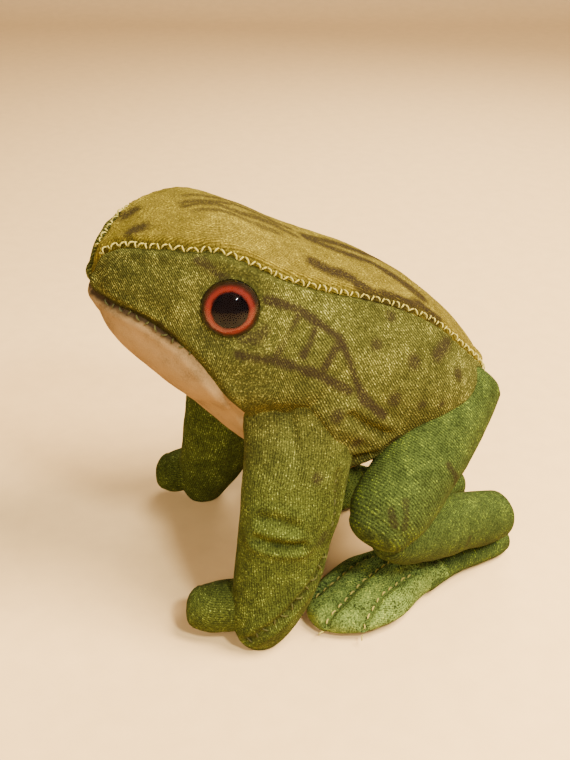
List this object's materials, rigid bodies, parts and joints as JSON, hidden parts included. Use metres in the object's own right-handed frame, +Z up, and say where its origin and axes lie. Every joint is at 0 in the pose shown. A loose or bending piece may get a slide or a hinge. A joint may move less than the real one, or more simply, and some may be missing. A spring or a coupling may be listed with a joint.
{
  "type": "stuffed velvet frog",
  "caption": "Small sitting stuffed frog sewn from olive velvet, with a cream belly, glass eyes and folded hind legs.",
  "frame": {"origin": "on the floor, under the middle of the frog's length and width", "axes": "+Z up, snout towards -Y, the frog's left side towards +X"},
  "size_m": [0.0659, 0.0797, 0.0789],
  "materials": {
    "golden_velvet": "golden olive cotton velvet, short pile",
    "olive_velvet": "dark olive cotton velvet, short pile",
    "moss_velvet": "moss green cotton velvet, short pile",
    "cream_cloth": "cream brushed cotton, very short nap",
    "stuffing": "packed soft stuffing",
    "thread": "pale yellow sewing thread",
    "eye_glass": "clear blown glass, polished",
    "iris_enamel": "orange red glass enamel",
    "pupil_glass": "black glass",
    "wire": "bent steel wire"
  },
  "bodies": {
    "trunk": {"back_panel": "golden_velvet", "belly_panel": "cream_cloth", "head_stuffing": "stuffing", "trunk_stuffing": "stuffing", "eye_tie_thread": "thread", "closing_seam_stitches": "thread", "left_side_panel": "olive_velvet", "left_arm_inner_panel": "olive_velvet", "left_arm_stuffing": "stuffing", "left_eye_glass": "eye_glass", "left_eye_iris": "iris_enamel", "left_eye_pupil": "pupil_glass", "left_eye_shank": "wire", "left_back_seam_stitches": "thread", "left_belly_seam_stitches": "thread", "left_arm_seam_stitches": "thread", "right_side_panel": "olive_velvet", "right_arm_inner_panel": "olive_velvet", "right_arm_stuffing": "stuffing", "right_eye_glass": "eye_glass", "right_eye_iris": "iris_enamel", "right_eye_pupil": "pupil_glass", "right_eye_shank": "wire", "right_back_seam_stitches": "thread", "right_belly_seam_stitches": "thread", "right_arm_seam_stitches": "thread"},
    "left_hand": {"left_hand_outer_panel": "olive_velvet", "left_hand_inner_panel": "olive_velvet", "left_hand_stuffing": "stuffing", "left_hand_seam_stitches": "thread"},
    "left_leg": {"left_leg_outer_panel": "moss_velvet", "left_leg_inner_panel": "moss_velvet", "left_thigh_stuffing": "stuffing", "left_shin_stuffing": "stuffing", "left_knee_tack_thread": "thread"},
    "left_foot": {"left_foot_upper": "moss_velvet", "left_foot_sole": "moss_velvet", "left_foot_padding": "stuffing", "left_toe_stitches": "thread"},
    "right_hand": {"right_hand_outer_panel": "olive_velvet", "right_hand_inner_panel": "olive_velvet", "right_hand_stuffing": "stuffing", "right_hand_seam_stitches": "thread"},
    "right_leg": {"right_leg_outer_panel": "moss_velvet", "right_leg_inner_panel": "moss_velvet", "right_thigh_stuffing": "stuffing", "right_shin_stuffing": "stuffing", "right_knee_tack_thread": "thread"},
    "right_foot": {"right_foot_upper": "moss_velvet", "right_foot_sole": "moss_velvet", "right_foot_padding": "stuffing", "right_toe_stitches": "thread"}
  },
  "joints": [
    {"name": "left_hip", "type": "hinge", "parent": "trunk", "child": "left_leg", "pos_m": [0.00743, 0.038, 0.03], "axis": [0, 0, 1], "range_deg": [0, 25]},
    {"name": "left_ankle", "type": "hinge", "parent": "left_leg", "child": "left_foot", "pos_m": [0.01642, 0.018, 0.0024], "axis": [-0.9397, -0.342, 0], "range_deg": [0, 15]},
    {"name": "left_wrist", "type": "hinge", "parent": "trunk", "child": "left_hand", "pos_m": [0.02374, -0.01248, 0.02002], "axis": [1, 0, 0], "range_deg": [-15, 3]},
    {"name": "right_hip", "type": "hinge", "parent": "trunk", "child": "right_leg", "pos_m": [-0.00743, 0.038, 0.03], "axis": [0, 0, -1], "range_deg": [0, 25]},
    {"name": "right_ankle", "type": "hinge", "parent": "right_leg", "child": "right_foot", "pos_m": [-0.01642, 0.018, 0.0024], "axis": [-0.9397, 0.342, 0], "range_deg": [0, 15]},
    {"name": "right_wrist", "type": "hinge", "parent": "trunk", "child": "right_hand", "pos_m": [-0.02374, -0.01208, 0.02002], "axis": [1, 0, 0], "range_deg": [-15, 3]}
  ]
}
